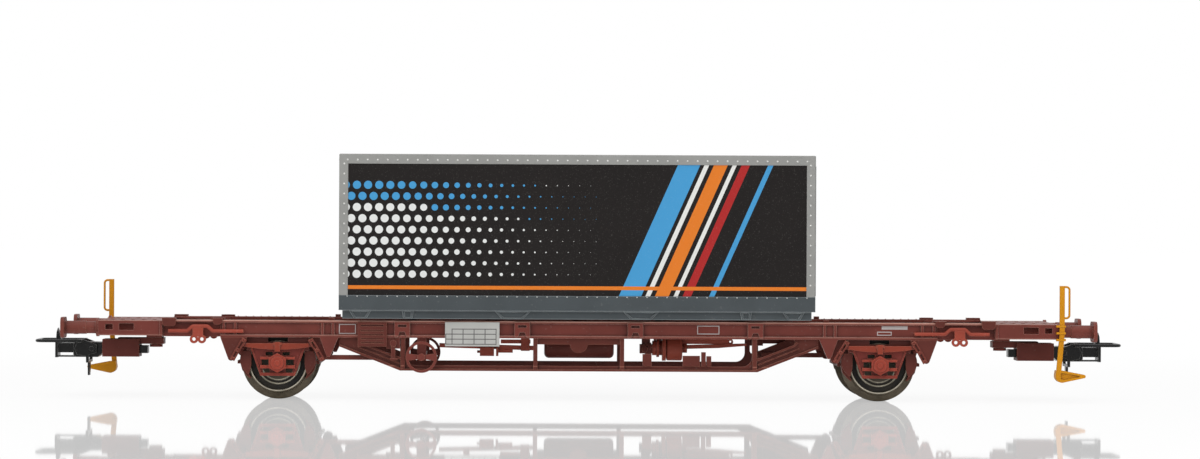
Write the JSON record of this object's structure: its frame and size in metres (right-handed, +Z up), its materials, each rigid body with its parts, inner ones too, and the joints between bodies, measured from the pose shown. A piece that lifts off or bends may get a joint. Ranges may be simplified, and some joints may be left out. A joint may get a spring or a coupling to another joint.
{
  "type": "model railway container flat wagon",
  "caption": "Scale-model two-axle flat wagon with truss-braced sills, sprung-style axle guards, loop couplings, buffers and a removable swap-body container on its deck.",
  "frame": {"origin": "on the floor under the middle of the wagon, level with the lowest point of the wheel flanges", "axes": "+X along the wagon to the right end in the picture, +Y across it away from the picture's camera, +Z up"},
  "size_m": [0.208, 0.0294, 0.0466],
  "materials": {
    "frame_brown": "satin",
    "fitting_brown": "satin",
    "bright_red": "satin",
    "yellow": "satin",
    "coupling_black": "satin",
    "wheel_metal": "satin",
    "light_grey": "satin",
    "dark_grey": "satin",
    "panel_dark": "gloss",
    "board_grey": "satin"
  },
  "bodies": {
    "wagon": {"side_sill_near": "frame_brown", "side_sill_far": "frame_brown", "cross_frame": "frame_brown", "end_frame_left": "frame_brown", "end_frame_right": "frame_brown", "truss_near": "fitting_brown", "truss_far": "fitting_brown", "axle_guard_left_near": "bright_red", "axle_guard_left_far": "bright_red", "axle_guard_right_near": "bright_red", "axle_guard_right_far": "bright_red", "leaf_springs_left": "bright_red", "leaf_springs_right": "bright_red", "brake_shoes_left": "fitting_brown", "brake_shoes_right": "fitting_brown", "air_tank": "fitting_brown", "brake_cylinder": "fitting_brown", "valve_block": "fitting_brown", "load_valve": "fitting_brown", "handbrake": "bright_red", "load_boards": "board_grey", "label_panels": "fitting_brown", "change_levers": "fitting_brown", "end_bars_left": "bright_red", "end_bars_right": "bright_red", "shunter_step_left": "yellow", "shunter_step_right": "yellow", "buffer_left_near": "fitting_brown", "buffer_left_far": "fitting_brown", "buffer_right_near": "fitting_brown", "buffer_right_far": "fitting_brown", "deck_spigots": "fitting_brown"},
    "wheelset_left": {"axle_left": "wheel_metal", "wheels_left": "wheel_metal"},
    "wheelset_right": {"axle_right": "wheel_metal", "wheels_right": "wheel_metal"},
    "coupling_left": {"coupling_pocket_left": "fitting_brown", "coupling_head_left": "coupling_black"},
    "coupling_right": {"coupling_pocket_right": "fitting_brown", "coupling_head_right": "coupling_black"},
    "loop_left": {"coupling_loop_left": "coupling_black"},
    "loop_right": {"coupling_loop_right": "coupling_black"},
    "container": {"container_base": "dark_grey", "container_frame": "light_grey", "container_side_near": "panel_dark", "container_side_far": "panel_dark", "container_front": "panel_dark", "container_door_near": "light_grey", "container_door_far": "light_grey", "lock_bars": "dark_grey", "container_roof": "light_grey"}
  },
  "joints": [
    {"name": "wheelset_left_spin", "type": "hinge", "parent": "wagon", "child": "wheelset_left", "pos_m": [-0.057, 0, 0.007], "axis": [0, 1, 0], "continuous": true},
    {"name": "wheelset_right_spin", "type": "hinge", "parent": "wagon", "child": "wheelset_right", "pos_m": [0.057, 0, 0.007], "axis": [0, 1, 0], "continuous": true},
    {"name": "coupling_left_swing", "type": "hinge", "parent": "wagon", "child": "coupling_left", "pos_m": [-0.0812, 0, 0.0107], "axis": [0, 0, 1], "range_deg": [-6, 6], "stiffness_Nm_per_rad": 0.001},
    {"name": "coupling_right_swing", "type": "hinge", "parent": "wagon", "child": "coupling_right", "pos_m": [0.0812, 0, 0.0107], "axis": [0, 0, 1], "range_deg": [-6, 6], "stiffness_Nm_per_rad": 0.001},
    {"name": "loop_left_lift", "type": "hinge", "parent": "coupling_left", "child": "loop_left", "pos_m": [-0.0932, 0, 0.0092], "axis": [0, 1, 0], "range_deg": [0, 18]},
    {"name": "loop_right_lift", "type": "hinge", "parent": "coupling_right", "child": "loop_right", "pos_m": [0.0932, 0, 0.0092], "axis": [0, -1, 0], "range_deg": [0, 18]},
    {"name": "container_lift", "type": "slide", "parent": "wagon", "child": "container", "axis": [0, 0, 1], "range_m": [0, 0.012]}
  ]
}
